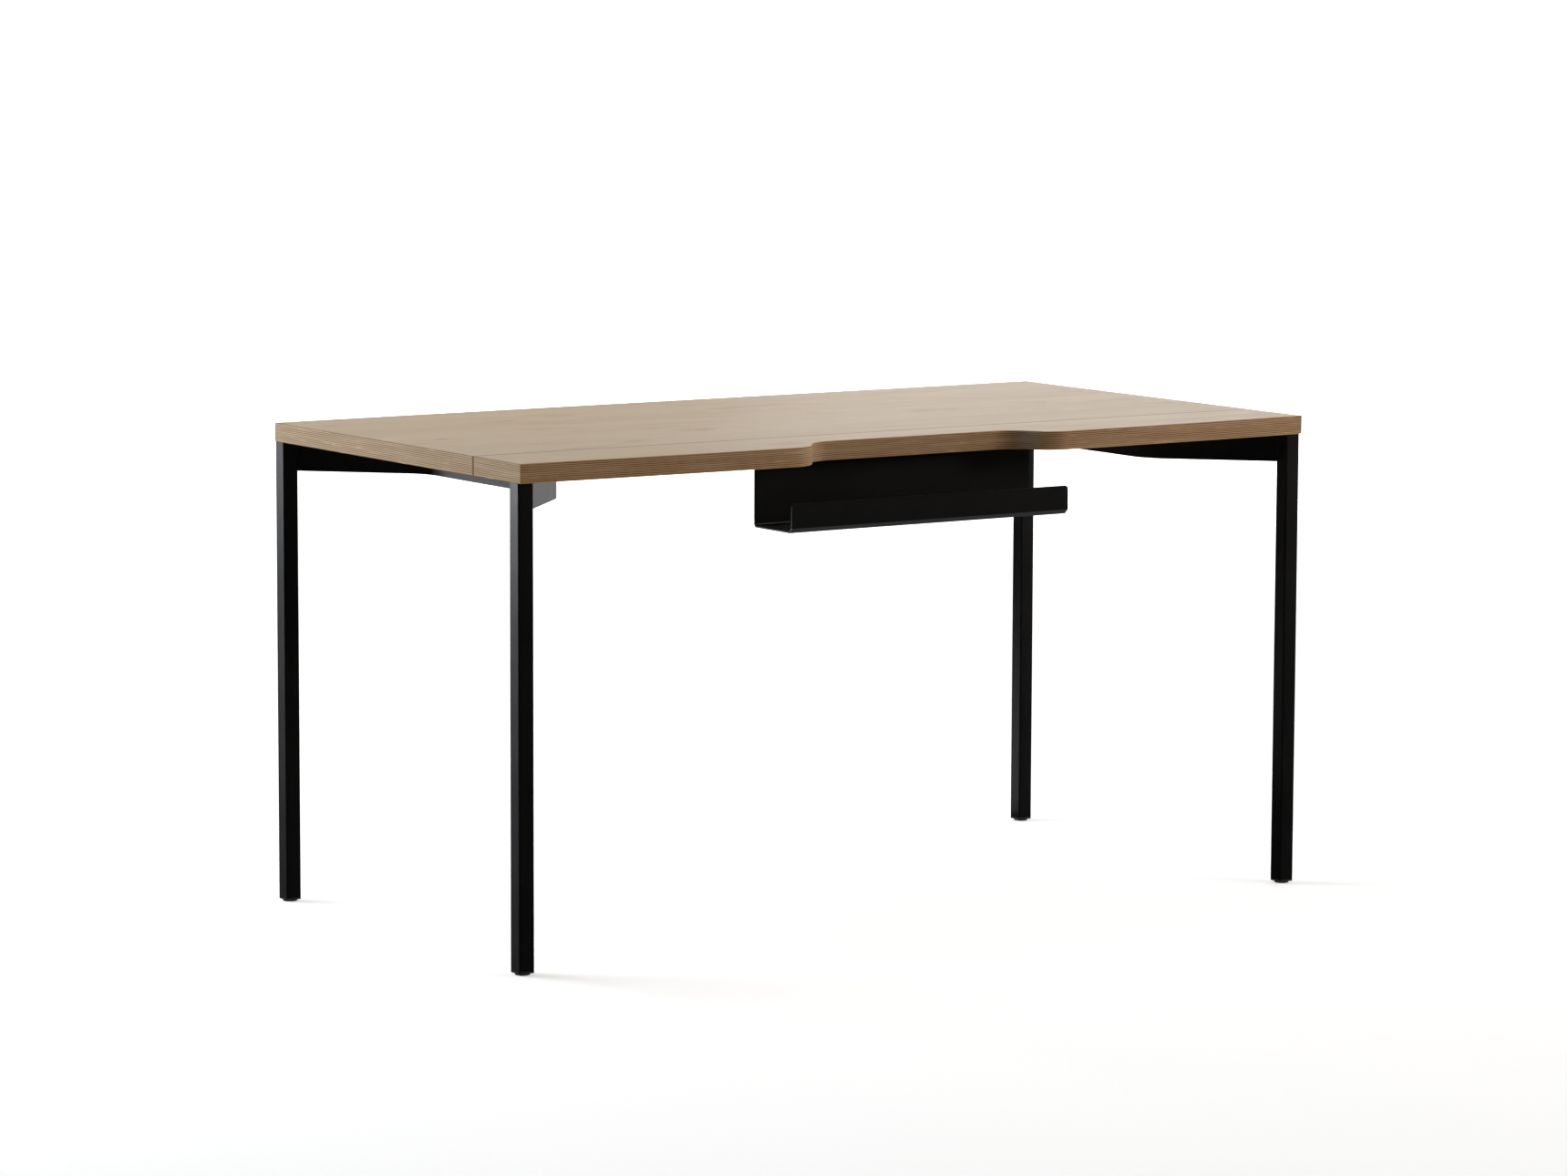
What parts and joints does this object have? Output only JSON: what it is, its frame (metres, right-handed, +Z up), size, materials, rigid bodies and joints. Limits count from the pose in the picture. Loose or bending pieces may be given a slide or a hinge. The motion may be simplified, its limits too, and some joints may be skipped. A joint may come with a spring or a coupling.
{
  "type": "writing desk",
  "caption": "Plywood writing desk with a front cut-out, a slim black steel frame, levelling glides and a folded steel keyboard tray under the cut-out.",
  "frame": {"origin": "middle of the footprint, at floor level under the glides", "axes": "+X to the right along the desk's width, as its user sees it; -Y towards the user; +Z up"},
  "size_m": [1.4, 0.73, 0.73],
  "materials": {
    "plywood": "clear matt lacquer over birch plywood with open ply edges",
    "dowel_wood": "raw beech",
    "black_steel": "fine matt powder coat",
    "zinc": "bright zinc plate",
    "brass": "yellow passivated zinc",
    "black_plastic": "moulded nylon"
  },
  "bodies": {
    "desk": {"main_board": "plywood", "front_board": "plywood", "board_dowels": "dowel_wood", "connector_bolts": "zinc", "connector_washers": "zinc", "connector_nuts": "zinc", "board_inserts": "brass", "side_beam_left": "black_steel", "side_beam_right": "black_steel", "fixing_tabs_left": "black_steel", "fixing_tabs_right": "black_steel", "leg_front_left": "black_steel", "leg_front_right": "black_steel", "leg_rear_left": "black_steel", "leg_rear_right": "black_steel", "top_plate_front_left": "black_steel", "top_plate_front_right": "black_steel", "top_plate_rear_left": "black_steel", "top_plate_rear_right": "black_steel", "frame_screws_left": "zinc", "frame_screws_right": "zinc", "tray": "black_steel", "tray_screws": "zinc", "foot_insert_front_left": "black_plastic", "foot_insert_front_right": "black_plastic", "foot_insert_rear_left": "black_plastic", "foot_insert_rear_right": "black_plastic"},
    "glide_front_left": {"glide_stud_front_left": "zinc", "glide_pad_front_left": "black_plastic"},
    "glide_front_right": {"glide_stud_front_right": "zinc", "glide_pad_front_right": "black_plastic"},
    "glide_rear_left": {"glide_stud_rear_left": "zinc", "glide_pad_rear_left": "black_plastic"},
    "glide_rear_right": {"glide_stud_rear_right": "zinc", "glide_pad_rear_right": "black_plastic"}
  },
  "joints": [
    {"name": "glide_front_left_travel", "type": "slide", "parent": "desk", "child": "glide_front_left", "axis": [0, 0, -1], "range_m": [0, 0.01]},
    {"name": "glide_front_right_travel", "type": "slide", "parent": "desk", "child": "glide_front_right", "axis": [0, 0, -1], "range_m": [0, 0.01]},
    {"name": "glide_rear_left_travel", "type": "slide", "parent": "desk", "child": "glide_rear_left", "axis": [0, 0, -1], "range_m": [0, 0.01]},
    {"name": "glide_rear_right_travel", "type": "slide", "parent": "desk", "child": "glide_rear_right", "axis": [0, 0, -1], "range_m": [0, 0.01]}
  ]
}
